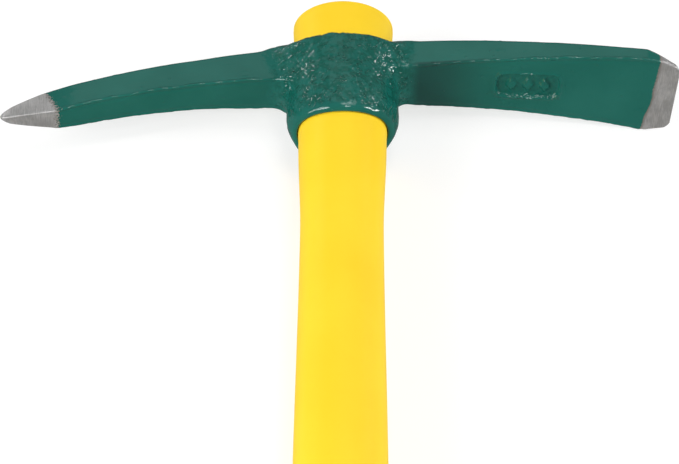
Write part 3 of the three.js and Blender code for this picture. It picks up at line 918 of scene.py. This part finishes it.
def drawn_fibre(name, light, dark):
    """Strands along the rod: noise stretched along Y."""
    fibre = Finish(name)
    strands = fibre.grain(0.7, 3, 0.6, fibre.moved(scale=(1, 0.02, 1)))
    fibre.bump(strands * 0.05)
    base = fibre.mix(fibre.ramp(strands, 0.35, 0.65), dark, light)
    fibre.coat(Base_Color=base, Roughness=0.45 + strands * 0.2)
    return fibre


yellow_plastic().on(jacket, plug)
black_stipple("black_grip_rubber", 0.78, 0.6).on(grip)
black_stipple("black_cap_plastic", 0.5, 0.4).on(cap)
rod = drawn_fibre("glass_rod", colour(222, 214, 184), colour(196, 186, 150))
rod.on(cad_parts["fibreglass_core"])
build_up = drawn_fibre("nylon_build_up", colour(236, 232, 220), colour(222, 216, 200))
build_up.on(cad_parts["flare_insert"])
print("finishes:", [material.name for material in bpy.data.materials])

# %% [markdown]
# ## Who moves with what
#
# The head is one body and everything on the handle is the other, so that the head can be knocked
# off its taper and slid down the handle. Each new piece stands in for its engineering node.

# %% Ride and replace
for piece, body, node, slot in [
    (head, "head", "pick_mattock_head", "green_enamel"),
    (jacket, "handle", "handle_jacket", "yellow_plastic"),
    (plug, "handle", "top_plug", "yellow_plastic"),
    (grip, "handle", "grip_sleeve", "black_rubber"),
    (cap, "handle", "butt_cap", "black_plastic"),
]:
    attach(piece, body)
    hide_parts(node)

# %% [markdown]
# ## Floor, light and camera
#
# The tool lies on a pale floor that glows a little, in a room that is lit softly from all round.
# Eight lamps are aimed at the head's eye. A large key panel on the left, beyond the butt, and a
# panel overhead give the body of the light. A weak panel behind the head and a small one before it
# light the far sides and the collar. Two tall strips draw the long highlights along the lip and
# down the collar's flanks, and two tiny lamps put pinpoints on the enamel's lumps. The floor isn't
# seen in reflections, which keeps the enamel deep, and a far wall that only the camera sees closes
# low views. The camera looks along the handle from its butt and from above, with a long lens.

# %% Floor and far wall
FLOOR_HALF = 6.0           # metres, as are the wall's sizes
WALL_RADIUS, WALL_HEIGHT = 5.9, 6.0
WALL_COLUMNS = 64


def paper_sheet(name, corners, faces, grey, glow):
    """A staged sheet of matt paper of a screen grey, with a glow of its own."""
    mesh = bpy.data.meshes.new(name)
    mesh.from_pydata(corners, [], faces)
    sheet = bpy.data.objects.new(name, mesh)
    bpy.context.scene.collection.objects.link(sheet)
    paper = Finish("pale_" + name, Specular_IOR_Level=0.1, Emission_Strength=glow,
                   Emission_Color=(1, 1, 1, 1))
    base = paper.mix(paper.grain(300, 2), colour(grey, grey, grey), colour(grey + 6, grey + 6, grey + 6))
    paper.coat(Base_Color=base, Roughness=0.9)
    paper.on(sheet)
    sheet.visible_glossy = False
    return sheet


def floor_corners(half):
    return [(-half, -half, 0), (half, -half, 0), (half, half, 0), (-half, half, 0)]


def wall_corners():
    """A low and a high ring round the tool."""
    angle = stretch(0, 2 * np.pi, WALL_COLUMNS)
    x, y = WALL_RADIUS * np.cos(angle), WALL_RADIUS * np.sin(angle)
    rings = [np.stack([x, y, np.full(WALL_COLUMNS, height)], -1) for height in (-0.01, WALL_HEIGHT)]
    return np.concatenate(rings).tolist()


paper_sheet("floor", floor_corners(FLOOR_HALF), [(0, 1, 2, 3)], 160, 0.68)
backdrop = paper_sheet("backdrop", wall_corners(), face_grid(2, WALL_COLUMNS, False).tolist(), 60, 0.8)
backdrop.visible_diffuse = backdrop.visible_shadow = False
print("staged: floor and backdrop")

# %% Lights
eye_level = Vector(TOOL_ORIGIN.tolist())


def panel(name, offset, size, watts, height=None):
    """An area light aimed at the head's eye: a square, or a strip where a height is given."""
    light = bpy.data.lights.new(name, "AREA")
    light.shape = "RECTANGLE"
    light.size, light.size_y, light.energy = size, height or size, watts
    lamp = bpy.data.objects.new(name, light)
    lamp.location = eye_level + Vector(offset)
    lamp.rotation_euler = (-Vector(offset)).to_track_quat("-Z", "Y").to_euler()
    bpy.context.scene.collection.objects.link(lamp)


panel("key_panel", (-1.4, -1.25, 1.1), 0.8, 20)
panel("top_panel", (0.5, 0.1, 2.2), 1.0, 14)
panel("back_panel", (-0.1, 1.05, 1.0), 0.8, 0.65)
panel("front_panel", (0.3, -0.95, 1.1), 0.3, 3.2)
panel("left_strip", (-1.3, -0.5, 0.6), 0.12, 8, height=1.0)
panel("right_strip", (1.4, -0.3, 0.5), 0.14, 11, height=0.8)
panel("left_glint", (-0.95, 0.9, 0.5), 0.05, 0.9)
panel("right_glint", (1.15, 0.65, 0.7), 0.05, 1.2)
world = bpy.data.worlds.new("bright_room")
world.use_nodes = True
room = world.node_tree.nodes["Background"].inputs
room["Color"].default_value = (1, 1, 1, 1)
room["Strength"].default_value = 0.2
bpy.context.scene.world = world
bpy.context.scene.view_settings.view_transform = "Standard"

# %% Camera
AZIMUTH, ELEVATION, DISTANCE = np.radians(0.3), np.radians(49.0), 1.408
VIEW_TARGET = placed([-1.4, -140.0, 0.0])
level = np.cos(ELEVATION)
looking = np.array([-np.sin(AZIMUTH) * level, np.cos(AZIMUTH) * level, -np.sin(ELEVATION)])
lens = bpy.data.cameras.new("camera")
lens.lens, lens.sensor_width = 130.43, 36.0
camera = bpy.data.objects.new("camera", lens)
camera.location = Vector((VIEW_TARGET - looking * DISTANCE).tolist())
camera.rotation_euler = Vector(looking.tolist()).to_track_quat("-Z", "Y").to_euler()
bpy.context.scene.collection.objects.link(camera)
bpy.context.scene.camera = camera
print("camera at", [round(v, 3) for v in camera.location])
